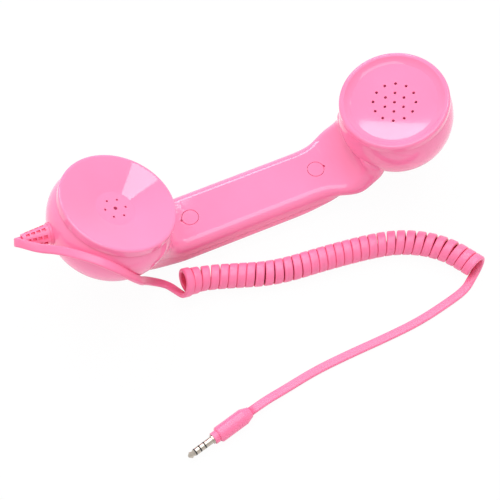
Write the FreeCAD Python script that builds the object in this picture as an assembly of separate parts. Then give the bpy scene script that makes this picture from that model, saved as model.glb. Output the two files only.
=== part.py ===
"""A retro telephone handset with a flat curly cord and a 3.5 mm four-pole plug.

The handset lies on the back of its grip with both cups up, as it is put down on a table.
X runs along the grip from the mouth cup to the ear cup, Z is up, and the origin is on the
flat back of the grip, midway between the two caps. Lengths are in millimetres.
"""

import FreeCAD, Part
import math
import os

Vec = FreeCAD.Vector
Turn = FreeCAD.Rotation
Place = FreeCAD.Placement
ORIGIN = Vec(0, 0, 0)
X_AXIS = Vec(1, 0, 0)
Y_AXIS = Vec(0, 1, 0)
Z_AXIS = Vec(0, 0, 1)

# Handset: where the two caps are
CAP_SPACING = 148.5
EAR_HEIGHT = 56.5
EAR_TILT = 9.6
MOUTH_HEIGHT = 57.8
MOUTH_TILT = 22.9

# Grip
GRIP_WIDTH = 31.5
GRIP_THICK = 18.0
GRIP_TOP_ROUND = 5.0
GRIP_BACK_ROUND = 7.0
SHELL_WALL = 2.2

# Parting line of the two shells: along the side of the grip and round both bowls
PARTING_HEIGHT = 9.0
PARTING_GAP = 0.3
PARTING_ROUND = 14.0
PARTING_REACH = 60.0
MOUTH_PARTING_DEPTH = 26.0
MOUTH_PARTING_TURN = 14.0
MOUTH_PARTING_X = -50.0
EAR_PARTING_X = 34.0
EAR_PARTING_RISE = (52.0, 17.0)
EAR_PARTING_TURN = 14.0
EAR_PARTING_DEPTH = 24.0

# Necks: the back of the grip rises in an arc to each bowl, and its face in a fillet
EAR_RISE_START = 14.0
EAR_RISE_RADIUS = 85.0
EAR_RISE_ANGLE = 45.0
EAR_NECK_FILLET = 14.0
MOUTH_RISE_START = -45.0
MOUTH_RISE_RADIUS = 45.0
MOUTH_RISE_ANGLE = 63.0
MOUTH_NECK_FILLET = 10.0
NECK_BACK_ROUND = 13.0
NECK_BACK_GROWTH = 2
NECK_TOP_GROWTH = 5
NECK_LEAD = 6.0
NECK_SECTIONS = 8
NECK_PLUNGE = 3.0
EAR_NECK_SINK = 3.8
EAR_NECK_ROUND = 8.5
EAR_FLARE_START = 29.0
EAR_FLARE_RADIUS = 30.0
EAR_FLARE_MOST = 5.0
EAR_BACK_FLARE = 0.1
MOUTH_NECK_SINK = 2.6
MOUTH_NECK_ROUND = 8.0
MOUTH_FLARE_START = -50.0
MOUTH_FLARE_RADIUS = 26.0
MOUTH_FLARE_MOST = 13.0
MOUTH_BACK_FLARE = 1.0
FLARE_LEAN = 0.35

# Bowls under the caps
EAR_BOWL_RADIUS = 29.3
EAR_SWELL_DEPTH = 16.0
EAR_FLAT_RADIUS = 2.3
EAR_SEAT_INSET = 2.0
MOUTH_BOWL_RADIUS = 31.6
MOUTH_SWELL_DEPTH = 13.5
MOUTH_FLAT_RADIUS = 6.1
MOUTH_SEAT_INSET = 3.0
BORE_RADIUS = 23.6
LEDGE_WIDTH = 3.0
LEDGE_THICK = 1.6
EAR_LEDGE_DEPTH = 13.0
MOUTH_LEDGE_DEPTH = 10.0

# Caps: each twists off on three lugs
CAP_GAP = 0.25
CAP_WALL = 2.2
SKIRT_WALL = 1.8
RUN_CLEAR = 0.3
LUG_COUNT = 3
LUG_ANGLE = 18.0
LUG_HEIGHT = 1.8
LUG_REACH = 1.3
LUG_TRAVEL = 30.0
LUG_PLAY_ANGLE = 3.0
LUG_INSET = 2.0
EAR_CAP_INSET = 1.3
EAR_CAP_RADIUS = EAR_BOWL_RADIUS - EAR_CAP_INSET
EAR_CAP_EDGE = 4.4
EAR_CAP_ROUND = 1.4
EAR_RIM_WIDTH = 2.6
EAR_STEP_RADIUS = 22.0
EAR_STEP_DEPTH = 2.0
EAR_STEP_BOW = 0.25
EAR_DISH_DEPTH = 2.8
EAR_HOLE_RADIUS = 0.75
EAR_HOLE_COUNTS = (6, 12)
EAR_HOLE_CIRCLES = (5.4, 10.8)
MOUTH_CAP_INSET = 2.1
MOUTH_CAP_RADIUS = MOUTH_BOWL_RADIUS - MOUTH_CAP_INSET
MOUTH_CAP_EDGE = 4.2
MOUTH_CAP_ROUND = 0.9
MOUTH_RIM_WIDTH = 1.6
MOUTH_DISH_RADIUS = 10.0
MOUTH_DISH_DEPTH = 5.0
MOUTH_HOLE_RADIUS = 1.0
MOUTH_SIDE_HOLE_RADIUS = 0.6
MOUTH_HOLE_RING = 5.5
MOUTH_HOLE_COUNT = 6

# Screws and their covers
EAR_SCREW_X = 32.4
MOUTH_SCREW_X = -38.5
COVER_RADIUS = 4.2
COVER_THICK = 1.6
COVER_CLEAR = 0.3
COVER_STEM_RADIUS = 2.4
COVER_STEM = 1.6
NOTCH_RADIUS = 0.8
SCREW_HEAD_RADIUS = 2.8
SCREW_HEAD = 2.2
SCREW_RADIUS = 1.4
SCREW_CLEAR = 0.25
SCREW_GRIP = 5.5
PILOT_SPARE = 0.5
BOSS_WALL = 1.9
SEAT_WALL = 2.0

# Inside
FIT = 0.15
OVERCUT = 1.0
BALLAST_LENGTH = 40.0
BALLAST_WIDTH = 15.0
BALLAST_THICK = 5.6
BALLAST_SETBACK = 1.4
RIB_THICK = 1.2
RIB_HEIGHT = 3.0
RIB_WIDTH = 10.0
FRAME_THICK = 1.2
BASKET_WALL = 1.0
BASKET_DEPTH = 5.0
BASKET_BASE_RADIUS = 15.0
GASKET_THICK = 1.4
GASKET_WIDTH = 3.2
CONE_RIM_RADIUS = 19.0
CONE_RIM_WIDTH = 1.8
CONE_NECK_RADIUS = 5.0
CONE_DEPTH = 3.2
CONE_THICK = 0.4
MAGNET_RADIUS = 10.0
MAGNET_THICK = 5.0
MIC_RADIUS = 4.85
MIC_LENGTH = 6.0
MIC_BOOT_WALL = 0.9
MIC_LIP = 0.6
HOLDER_THICK = 1.6
HOLDER_TUBE_WALL = 1.2
HOLDER_TUBE = 5.6
WIRE_RADIUS = 0.6
WIRE_PITCH = 1.5
WIRE_CLEAR = 0.7
WIRE_START = 4.0
WIRE_TURN = 6.0
WIRE_DEPTH = 18.0
WIRE_RISE = 10.0

# Strain relief boot on the mouth bowl
BOOT_DROP = 11.5
BOOT_SPOT = 0.9
BOOT_COLLAR_RADIUS = 5.5
BOOT_COLLAR = 1.5
BOOT_BASE_RADIUS = 5.0
BOOT_TIP_RADIUS = 3.2
BOOT_LENGTH = 13.0
BOOT_NECK_RADIUS = 3.4
BOOT_FLANGE_RADIUS = 4.9
BOOT_FLANGE = 1.4
BOOT_ROWS = 4
BOOT_COLUMNS = 8
BOOT_WINDOW = 1.9
BOOT_WINDOW_WIDTH = 1.7
BOOT_WINDOW_DEPTH = 0.7
ANCHOR_LENGTH = 5.0
ANCHOR_WIDTH = 6.0
ANCHOR_THICK = 3.4

# Flat cord
CORD_WIDTH = 4.0
CORD_THICK = 2.1
CORD_CHAMFER = 0.5
COIL_RADIUS = 5.8
COIL_GAP = 0.42
COIL_TURNS = 33
FIRST_RING_EXTRA = 0.9
FIRST_RING_TURNS = 1.2
COIL_START_ANGLE = -60.0
COIL_END_ANGLE = -90.0
STEPS_PER_TURN = 8
RUN_SHARE = 0.45
STRAIGHT_BOW = 0.001
TAIL_END = 10.0
LEAD_START = 8.0
LEAD_END = 9.0

# The tail folds back over the boot, goes round the mouth bowl and drops to the coil
FOLD_OUT = 3.6
FOLD_WIDTH = 5.2
FOLD_RADIUS = 2.4
FOLD_SIDE = (0.333, -0.516, 0.789)
TAIL_POINTS = (
    (-118.0, -8.6, 58.0),
    (-110.5, -13.4, 59.4),
    (-102.2, -21.2, 61.0),
    (-94.4, -28.4, 60.8),
    (-87.2, -33.6, 55.4),
    (-81.4, -34.2, 44.6),
    (-76.4, -31.2, 31.6),
    (-72.5, -20.5, 11.0),
)
COIL_POINTS = (
    (-55.7, -30.6, 14.6),
    (-47.1, -29.9, 7.0),
    (-31.0, -33.4, 7.0),
    (-8.0, -41.2, 7.0),
    (20.0, -44.2, 7.0),
    (48.0, -48.4, 7.0),
    (71.0, -58.0, 7.0),
    (88.5, -82.0, 7.0),
)
COIL_BENDS = (27.0, 45.0, 60.0, 120.0, 70.0, 48.0)
LEAD_POINTS = (
    (63.0, -90.2, 1.2),
    (46.0, -93.6, 1.2),
    (27.0, -95.0, 1.2),
    (4.0, -95.7, 1.2),
    (-14.0, -96.9, 1.2),
    (-31.0, -99.8, 1.3),
)

# Plug on the floor: its back end and the way it points
PLUG_BACK = (-51.9, -104.6)
PLUG_HEADING = -166.0
PLUG_RADIUS = 4.1
PLUG_GRIP = 19.5
PLUG_TAPER = 4.0
PLUG_BACK_RADIUS = 2.7
PLUG_ROUND = 1.0
PLUG_COLLAR_RADIUS = 3.0
PLUG_COLLAR = 2.8
PIN_RADIUS = 1.75
PIN_FLANGE_RADIUS = 2.4
PIN_FLANGE = 0.8
SLEEVE_LENGTH = 4.2
RING_LENGTH = 2.1
INSULATOR = 0.7
TIP_LENGTH = 3.6
TIP_NECK = 0.5
TIP_WAIST_SHARE = 0.3
TIP_CROWN_SHARE = 0.6


# Helpers

def profile(start, *steps):
    """Closed outline in the XZ plane: a step is a point for a line, or (middle, end) for an arc."""
    here = Vec(start[0], 0, start[1])
    first = here
    edges = []
    for step in steps:
        if isinstance(step[0], tuple):
            middle = Vec(step[0][0], 0, step[0][1])
            there = Vec(step[1][0], 0, step[1][1])
            edges.append(Part.Arc(here, middle, there).toShape())
        else:
            there = Vec(step[0], 0, step[1])
            edges.append(Part.LineSegment(here, there).toShape())
        here = there
    edges.append(Part.LineSegment(here, first).toShape())
    return Part.Face(Part.Wire(edges))


def lathe(start, *steps):
    """Solid turned about Z from an outline of (radius, height) points."""
    return profile(start, *steps).revolve(ORIGIN, Z_AXIS, 360)


def disc(radius, low, high):
    return Part.makeCylinder(radius, high - low, Vec(0, 0, low))


def ring(inner, outer, low, high):
    return disc(outer, low, high).cut(disc(inner, low - OVERCUT, high + OVERCUT))


def on_arc(centre, radius, angle):
    """Point of a circle in the XZ plane, by its angle in degrees from +X."""
    turn = math.radians(angle)
    return (centre[0] + radius * math.cos(turn), centre[1] + radius * math.sin(turn))


def rounded_edges(points, radii):
    """Straight runs through the points, with a tangent arc at each inner point."""
    edges = []
    start = points[0]
    for before, corner, after, radius in zip(points, points[1:], points[2:], radii):
        back = (before - corner).normalize()
        on = (after - corner).normalize()
        half = back.getAngle(on) / 2
        bisector = (back + on).normalize()
        first = corner + back * (radius / math.tan(half))
        last = corner + on * (radius / math.tan(half))
        middle = corner + bisector * (radius / math.sin(half) - radius)
        edges.append(Part.LineSegment(start, first).toShape())
        edges.append(Part.Arc(first, middle, last).toShape())
        start = last
    edges.append(Part.LineSegment(start, points[-1]).toShape())
    return edges


def easy_radii(points):
    """The largest arc that each inner point's two runs allow."""
    radii = []
    for before, corner, after in zip(points, points[1:], points[2:]):
        turn = (corner - before).getAngle(after - corner)
        shorter = min((corner - before).Length, (after - corner).Length)
        radii.append(RUN_SHARE * shorter / math.tan(turn / 2))
    return radii


def sector(inner, outer, low, high, start_angle, end_angle):
    """Part of a ring about Z, between two angles in degrees."""
    face = profile((inner, low), (outer, low), (outer, high), (inner, high))
    solid = face.revolve(ORIGIN, Z_AXIS, end_angle - start_angle)
    solid.rotate(ORIGIN, Z_AXIS, start_angle)
    return solid


def around(shape, count):
    """Copies of a shape spaced evenly about Z."""
    copies = []
    for index in range(count):
        copy = shape.copy()
        copy.rotate(ORIGIN, Z_AXIS, 360 * index / count)
        copies.append(copy)
    return copies


def placed(shape, place):
    moved = shape.copy()
    moved.Placement = place.multiply(moved.Placement)
    return moved


def save(name, shape):
    os.makedirs("parts", exist_ok=True)
    shape.exportStep("parts/" + name + ".step")


# Bowls

class Bowl:
    """One end of the handset: its axis and the sizes that shell, cap and capsule share."""

    def __init__(self, x, height, tilt, grip_side, radius, swell, dome, seat_radius, seat, ledge):
        self.place = Place(Vec(x, 0, height), Turn(Y_AXIS, tilt))
        self.grip_side = grip_side
        self.radius = radius
        self.swell = swell
        self.dome = dome
        self.seat_radius = seat_radius
        self.seat = seat
        self.ledge = ledge

    def point(self, radius, depth):
        """A point in the handset's middle plane, counted towards the grip and down the axis."""
        return self.place.multVec(Vec(self.grip_side * radius, 0, -depth))

    def outer_radius(self, depth):
        """Outside radius at a depth: a slow swell above the widest place, a round dome below."""
        if depth > self.swell:
            return self.radius - self.dome + math.sqrt(self.dome ** 2 - (depth - self.swell) ** 2)
        rise = self.swell - self.seat
        drop = self.radius - self.seat_radius
        sweep = (rise ** 2 + drop ** 2) / (2 * drop)
        return self.radius - sweep + math.sqrt(sweep ** 2 - (self.swell - depth) ** 2)

    def outside(self):
        middle = (self.seat + self.swell) / 2
        flat = self.radius - self.dome
        bottom = -self.swell - self.dome
        return placed(lathe(
            (0, -self.seat),
            (self.seat_radius, -self.seat),
            ((self.outer_radius(middle), -middle), (self.radius, -self.swell)),
            (on_arc((flat, -self.swell), self.dome, -45), (flat, bottom)),
            (0, bottom)), self.place)

    def inside(self):
        """The hollow: the capsule's bore, its ledge and the dome's inside."""
        under = self.ledge + LEDGE_THICK
        shelf = BORE_RADIUS - LEDGE_WIDTH
        flat = self.radius - self.dome
        round_in = self.dome - SHELL_WALL
        return placed(lathe(
            (0, OVERCUT - self.seat),
            (BORE_RADIUS, OVERCUT - self.seat),
            (BORE_RADIUS, -self.ledge),
            (shelf, -self.ledge),
            (shelf, -under),
            (self.outer_radius(under) - SHELL_WALL, -under),
            (self.radius - SHELL_WALL, -self.swell),
            (on_arc((flat, -self.swell), round_in, -45), (flat, -self.swell - round_in)),
            (0, -self.swell - round_in)), self.place)


ear = Bowl(CAP_SPACING / 2, EAR_HEIGHT, -EAR_TILT, -1,
           EAR_BOWL_RADIUS, EAR_SWELL_DEPTH, EAR_BOWL_RADIUS - EAR_FLAT_RADIUS,
           EAR_BOWL_RADIUS - EAR_SEAT_INSET, EAR_CAP_EDGE + CAP_GAP, EAR_LEDGE_DEPTH)
mouth = Bowl(-CAP_SPACING / 2, MOUTH_HEIGHT, MOUTH_TILT, 1,
             MOUTH_BOWL_RADIUS, MOUTH_SWELL_DEPTH, MOUTH_BOWL_RADIUS - MOUTH_FLAT_RADIUS,
             MOUTH_BOWL_RADIUS - MOUTH_SEAT_INSET, MOUTH_CAP_EDGE + CAP_GAP, MOUTH_LEDGE_DEPTH)


# Grip

def grip_section(top, bottom, half_top, half_back, top_round, back_round, inset):
    """Rounded section between a point of the face and one of the back; its sides lean if the widths differ."""
    up = (top - bottom).normalize()
    low = (half_back - back_round, back_round)
    high = (half_top - top_round, (top - bottom).Length - top_round)
    across = high[0] - low[0]
    rise = high[1] - low[1]
    lean = math.atan2(rise, across) - math.acos((back_round - top_round) / math.hypot(across, rise))

    def bend(side, centre, radius, angle):
        here = on_arc(centre, radius - inset, math.degrees(angle))
        return bottom + Y_AXIS * (side * here[0]) + up * here[1]

    square = math.pi / 2
    arcs = ((1, low, back_round, -square, lean),
            (1, high, top_round, lean, square),
            (-1, high, top_round, square, lean),
            (-1, low, back_round, lean, -square))
    starts = [bend(side, centre, radius, start) for side, centre, radius, start, end in arcs]
    edges = []
    for index, (side, centre, radius, start, end) in enumerate(arcs):
        middle = bend(side, centre, radius, (start + end) / 2)
        last = bend(side, centre, radius, end)
        edges.append(Part.Arc(starts[index], middle, last).toShape())
        edges.append(Part.LineSegment(last, starts[(index + 1) % len(starts)]).toShape())
    return Part.Wire(edges)


def straight_section(x, inset):
    half = GRIP_WIDTH / 2
    face = Vec(x, 0, GRIP_THICK)
    return grip_section(face, Vec(x, 0, 0), half, half, GRIP_TOP_ROUND, GRIP_BACK_ROUND, inset)


def neck(bowl, sink, fillet, neck_round, rise_start, rise_radius, rise_angle,
         flare_start, flare_radius, most, back_flare, inset):
    """Loft from the straight grip up to a bowl, growing wider and rounder, and on into the bowl's wall."""
    way = -bowl.grip_side
    wall = bowl.radius - sink
    up = bowl.place.Rotation.multVec(Z_AXIS)
    flat = X_AXIS * -way
    foot = bowl.point(wall, 0)
    corner = foot - up * ((foot.z - GRIP_THICK) / up.z)
    half = flat.getAngle(up) / 2
    centre = corner + (flat + up).normalize() * (fillet / math.sin(half))
    face_run = way * (centre.x - rise_start)
    face_path = face_run + fillet * (math.pi - 2 * half)
    sections = [straight_section(rise_start - way * NECK_LEAD * share, inset) for share in (1, 0.5, 0)]
    for index in range(1, NECK_SECTIONS + 1):
        share = index / NECK_SECTIONS
        along = share * face_path
        bend = max(0, along - face_run) / fillet
        top = centre + Vec(way * math.sin(bend), 0, -math.cos(bend)) * fillet
        if along < face_run:
            top = Vec(rise_start + way * along, 0, GRIP_THICK)
        swing = math.radians(share * rise_angle)
        bottom = Vec(rise_start + way * rise_radius * math.sin(swing), 0, rise_radius * (1 - math.cos(swing)))
        out = max(0, way * (top.x + (bottom.x - top.x) * FLARE_LEAN - flare_start))
        flare = min(most, flare_radius - math.sqrt(max(0, flare_radius ** 2 - out ** 2)))
        half_top = GRIP_WIDTH / 2 + flare
        half_back = GRIP_WIDTH / 2 + flare * back_flare
        top_round = GRIP_TOP_ROUND + (neck_round - GRIP_TOP_ROUND) * share ** NECK_TOP_GROWTH
        back_round = GRIP_BACK_ROUND + (NECK_BACK_ROUND - GRIP_BACK_ROUND) * share ** NECK_BACK_GROWTH
        sections.append(grip_section(top, bottom, half_top, half_back, top_round, back_round, inset))
    last = sections[-1]
    for share in (0.5, 1):
        end = last.copy()
        end.translate(X_AXIS * (way * NECK_PLUNGE * share))
        sections.append(end)
    return Part.makeLoft(sections, True, False)


def grip(inset):
    """The straight grip and both necks; with an inset it is their hollow."""
    low = MOUTH_RISE_START + NECK_LEAD
    high = EAR_RISE_START - NECK_LEAD
    straight = Part.Face(straight_section(low, inset)).extrude(X_AXIS * (high - low))
    ear_neck = neck(ear, EAR_NECK_SINK, EAR_NECK_FILLET, EAR_NECK_ROUND,
                    EAR_RISE_START, EAR_RISE_RADIUS, EAR_RISE_ANGLE,
                    EAR_FLARE_START, EAR_FLARE_RADIUS, EAR_FLARE_MOST, EAR_BACK_FLARE, inset)
    mouth_neck = neck(mouth, MOUTH_NECK_SINK, MOUTH_NECK_FILLET, MOUTH_NECK_ROUND,
                      MOUTH_RISE_START, MOUTH_RISE_RADIUS, MOUTH_RISE_ANGLE,
                      MOUTH_FLARE_START, MOUTH_FLARE_RADIUS, MOUTH_FLARE_MOST, MOUTH_BACK_FLARE, inset)
    return straight.fuse([ear_neck, mouth_neck])


def below_parting(lift):
    """Everything below the parting line, raised by a lift."""
    line = [mouth.point(-PARTING_REACH, MOUTH_PARTING_DEPTH),
            mouth.point(MOUTH_PARTING_TURN, MOUTH_PARTING_DEPTH),
            Vec(MOUTH_PARTING_X, 0, PARTING_HEIGHT),
            Vec(EAR_PARTING_X, 0, PARTING_HEIGHT),
            Vec(EAR_PARTING_RISE[0], 0, EAR_PARTING_RISE[1]),
            ear.point(EAR_PARTING_TURN, EAR_PARTING_DEPTH),
            ear.point(-PARTING_REACH, EAR_PARTING_DEPTH)]
    edges = rounded_edges(line, [PARTING_ROUND] * (len(line) - 2))
    floor = [Vec(line[-1].x, 0, -PARTING_REACH), Vec(line[0].x, 0, -PARTING_REACH)]
    for start, end in ((line[-1], floor[0]), (floor[0], floor[1]), (floor[1], line[0])):
        edges.append(Part.LineSegment(start, end).toShape())
    solid = Part.Face(Part.Wire(edges)).extrude(Y_AXIS * (2 * PARTING_REACH))
    solid.translate(Vec(0, -PARTING_REACH, lift))
    return solid


hull = grip(0).fuse([ear.outside(), mouth.outside()])
hollow = grip(SHELL_WALL).fuse([ear.inside(), mouth.inside()])
shell = hull.cut(hollow)
front_shell = shell.cut(below_parting(PARTING_GAP))
back_shell = shell.common(below_parting(0))


# Screws, their wells and covers

cover_floor = GRIP_THICK - COVER_THICK
head_top = cover_floor - COVER_STEM - RUN_CLEAR
head_seat = head_top - SCREW_HEAD
boss_meet = head_seat - SEAT_WALL
screw_end = boss_meet - SCREW_GRIP
head_bore = SCREW_HEAD_RADIUS + SCREW_CLEAR
front_boss = head_bore + BOSS_WALL
pilot = SCREW_RADIUS + FIT
cover_recess = COVER_RADIUS + COVER_CLEAR

screws = []
for name, x, outward in (("ear", EAR_SCREW_X, 1), ("mouth", MOUTH_SCREW_X, -1)):
    spot = Place(Vec(x, 0, 0), Turn())
    notch = disc(NOTCH_RADIUS, cover_floor, GRIP_THICK + OVERCUT)
    notch.translate(X_AXIS * (outward * cover_recess))
    front_shell = front_shell.fuse(placed(disc(front_boss, boss_meet, cover_floor), spot))
    front_shell = front_shell.cut([
        placed(disc(cover_recess, cover_floor, GRIP_THICK + OVERCUT), spot),
        placed(notch, spot),
        placed(disc(head_bore, head_seat, GRIP_THICK), spot),
        placed(disc(SCREW_RADIUS + SCREW_CLEAR, boss_meet - OVERCUT, GRIP_THICK), spot)])
    back_boss = placed(disc(pilot + BOSS_WALL, 0, boss_meet), spot).common(hull)
    back_shell = back_shell.fuse(back_boss)
    back_shell = back_shell.cut(placed(disc(pilot, screw_end - PILOT_SPARE, boss_meet + OVERCUT), spot))
    screw = disc(SCREW_HEAD_RADIUS, head_seat, head_top).fuse(disc(SCREW_RADIUS, screw_end, head_seat))
    screws.append(placed(screw, spot))
    cover = disc(COVER_RADIUS, cover_floor, GRIP_THICK)
    cover = cover.fuse(disc(COVER_STEM_RADIUS, cover_floor - COVER_STEM, cover_floor))
    save("screw_cover_" + name, placed(cover, spot))
save("shell_screws", Part.makeCompound(screws))


# Ballast between two ribs on the floor of the back shell

ballast_end = EAR_RISE_START - NECK_LEAD - BALLAST_SETBACK
ballast_start = ballast_end - BALLAST_LENGTH
save("ballast_bar", Part.makeBox(BALLAST_LENGTH, BALLAST_WIDTH, BALLAST_THICK,
                                 Vec(ballast_start, -BALLAST_WIDTH / 2, SHELL_WALL)))
for x in (ballast_start - FIT - RIB_THICK, ballast_end + FIT):
    foot = Vec(x, -RIB_WIDTH / 2, SHELL_WALL / 2)
    rib = Part.makeBox(RIB_THICK, RIB_WIDTH, SHELL_WALL / 2 + RIB_HEIGHT, foot)
    back_shell = back_shell.fuse(rib)


# Caps

skirt_outer = BORE_RADIUS - RUN_CLEAR
skirt_inner = skirt_outer - SKIRT_WALL
lug_outer = skirt_outer + LUG_REACH


def cap_lugs(skirt_end):
    low = LUG_INSET - skirt_end
    lug = sector(skirt_outer - SKIRT_WALL / 2, lug_outer, low, low + LUG_HEIGHT,
                 -LUG_ANGLE / 2, LUG_ANGLE / 2)
    return around(lug, LUG_COUNT)


def lug_ways(seat, skirt_end):
    """Groove under the seat for each lug's twist, and the slot that lets it out."""
    low = LUG_INSET - skirt_end
    half = LUG_ANGLE / 2 + LUG_PLAY_ANGLE
    outer = lug_outer + RUN_CLEAR
    inner = BORE_RADIUS - OVERCUT
    groove = sector(inner, outer, low - RUN_CLEAR, low + LUG_HEIGHT + RUN_CLEAR, -half, LUG_TRAVEL + half)
    slot = sector(inner, outer, low, OVERCUT - seat, LUG_TRAVEL - half, LUG_TRAVEL + half)
    return around(groove, LUG_COUNT) + around(slot, LUG_COUNT)


ear_skirt_end = EAR_LEDGE_DEPTH - FRAME_THICK - GASKET_THICK - RUN_CLEAR
ear_rim_inner = EAR_CAP_RADIUS - EAR_RIM_WIDTH
ear_edge = (EAR_CAP_RADIUS - EAR_CAP_ROUND, -EAR_CAP_ROUND)
step_bow = EAR_STEP_DEPTH * EAR_STEP_BOW
step_middle = ((ear_rim_inner + EAR_STEP_RADIUS) / 2 - step_bow, -EAR_STEP_DEPTH / 2 - step_bow)
dish_middle = (EAR_STEP_RADIUS / 2, -EAR_DISH_DEPTH + (EAR_DISH_DEPTH - EAR_STEP_DEPTH) / 4)
under_edge = -EAR_STEP_DEPTH - CAP_WALL
under_middle = (skirt_inner / 2, dish_middle[1] - CAP_WALL)
ear_cap = lathe(
    (0, -EAR_DISH_DEPTH - CAP_WALL),
    (under_middle, (skirt_inner, under_edge)),
    (skirt_inner, -ear_skirt_end),
    (skirt_outer, -ear_skirt_end),
    (skirt_outer, -EAR_CAP_EDGE),
    (EAR_CAP_RADIUS, -EAR_CAP_EDGE),
    (EAR_CAP_RADIUS, -EAR_CAP_ROUND),
    (on_arc(ear_edge, EAR_CAP_ROUND, 45), (ear_edge[0], 0)),
    (ear_rim_inner, 0),
    (step_middle, (EAR_STEP_RADIUS, -EAR_STEP_DEPTH)),
    (dish_middle, (0, -EAR_DISH_DEPTH)))
ear_cap = ear_cap.fuse(cap_lugs(ear_skirt_end))
hole = disc(EAR_HOLE_RADIUS, -EAR_DISH_DEPTH - CAP_WALL - OVERCUT, OVERCUT)
holes = [hole]
for count, radius in zip(EAR_HOLE_COUNTS, EAR_HOLE_CIRCLES):
    moved = hole.copy()
    moved.translate(X_AXIS * radius)
    holes += around(moved, count)
save("ear_cap", placed(ear_cap.cut(holes), ear.place))

mouth_skirt_end = MOUTH_LEDGE_DEPTH - HOLDER_THICK - RUN_CLEAR
mouth_rim_inner = MOUTH_CAP_RADIUS - MOUTH_RIM_WIDTH
mouth_edge = (MOUTH_CAP_RADIUS - MOUTH_CAP_ROUND, -MOUTH_CAP_ROUND)
cone_slope = MOUTH_DISH_DEPTH / (mouth_rim_inner - MOUTH_DISH_RADIUS)
mouth_cap = lathe(
    (0, -MOUTH_DISH_DEPTH - CAP_WALL),
    (MOUTH_DISH_RADIUS, -MOUTH_DISH_DEPTH - CAP_WALL),
    (skirt_inner, cone_slope * (skirt_inner - mouth_rim_inner) - CAP_WALL),
    (skirt_inner, -mouth_skirt_end),
    (skirt_outer, -mouth_skirt_end),
    (skirt_outer, -MOUTH_CAP_EDGE),
    (MOUTH_CAP_RADIUS, -MOUTH_CAP_EDGE),
    (MOUTH_CAP_RADIUS, -MOUTH_CAP_ROUND),
    (on_arc(mouth_edge, MOUTH_CAP_ROUND, 45), (mouth_edge[0], 0)),
    (mouth_rim_inner, 0),
    (MOUTH_DISH_RADIUS, -MOUTH_DISH_DEPTH),
    (0, -MOUTH_DISH_DEPTH))
mouth_cap = mouth_cap.fuse(cap_lugs(mouth_skirt_end))
side_hole = disc(MOUTH_SIDE_HOLE_RADIUS, -MOUTH_DISH_DEPTH - CAP_WALL - OVERCUT, OVERCUT)
side_hole.translate(X_AXIS * MOUTH_HOLE_RING)
holes = around(side_hole, MOUTH_HOLE_COUNT)
holes.append(disc(MOUTH_HOLE_RADIUS, -MOUTH_DISH_DEPTH - CAP_WALL - OVERCUT, OVERCUT))
save("mouth_cap", placed(mouth_cap.cut(holes), mouth.place))

for bowl, skirt_end in ((ear, ear_skirt_end), (mouth, mouth_skirt_end)):
    front_shell = front_shell.cut([placed(way, bowl.place) for way in lug_ways(bowl.seat, skirt_end)])


# Receiver on the ledge of the ear bowl

frame_top = FRAME_THICK - EAR_LEDGE_DEPTH
basket_top = BORE_RADIUS - LEDGE_WIDTH - RUN_CLEAR
basket_floor = -EAR_LEDGE_DEPTH - BASKET_DEPTH
receiver_frame = lathe(
    (CONE_NECK_RADIUS + CONE_RIM_WIDTH, basket_floor),
    (BASKET_BASE_RADIUS, basket_floor),
    (basket_top, -EAR_LEDGE_DEPTH - BASKET_WALL),
    (basket_top, -EAR_LEDGE_DEPTH),
    (BORE_RADIUS - RUN_CLEAR, -EAR_LEDGE_DEPTH),
    (BORE_RADIUS - RUN_CLEAR, frame_top),
    (CONE_RIM_RADIUS + FIT, frame_top),
    (CONE_RIM_RADIUS + FIT, -EAR_LEDGE_DEPTH),
    (CONE_RIM_RADIUS - CONE_RIM_WIDTH, -EAR_LEDGE_DEPTH),
    (BASKET_BASE_RADIUS - BASKET_WALL, basket_floor + BASKET_WALL),
    (CONE_NECK_RADIUS + CONE_RIM_WIDTH, basket_floor + BASKET_WALL))
save("receiver_frame", placed(receiver_frame, ear.place))
save("receiver_magnet", placed(disc(MAGNET_RADIUS, basket_floor - MAGNET_THICK, basket_floor), ear.place))
cone_rim_inner = CONE_RIM_RADIUS - CONE_RIM_WIDTH
cone_low = CONE_THICK - EAR_LEDGE_DEPTH - CONE_DEPTH
receiver_cone = lathe(
    (0, cone_low - CONE_THICK),
    (CONE_NECK_RADIUS, cone_low - CONE_THICK),
    (cone_rim_inner, -EAR_LEDGE_DEPTH + FIT),
    (cone_rim_inner, -EAR_LEDGE_DEPTH),
    (CONE_RIM_RADIUS, -EAR_LEDGE_DEPTH),
    (CONE_RIM_RADIUS, CONE_THICK - EAR_LEDGE_DEPTH),
    (cone_rim_inner - CONE_THICK, CONE_THICK - EAR_LEDGE_DEPTH),
    (CONE_NECK_RADIUS, cone_low),
    (0, cone_low))
save("receiver_cone", placed(receiver_cone, ear.place))
gasket_outer = BORE_RADIUS - RUN_CLEAR
gasket = ring(gasket_outer - GASKET_WIDTH, gasket_outer, frame_top, frame_top + GASKET_THICK)
save("receiver_gasket", placed(gasket, ear.place))


# Microphone in a rubber boot, in a holder on the ledge of the mouth bowl

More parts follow.
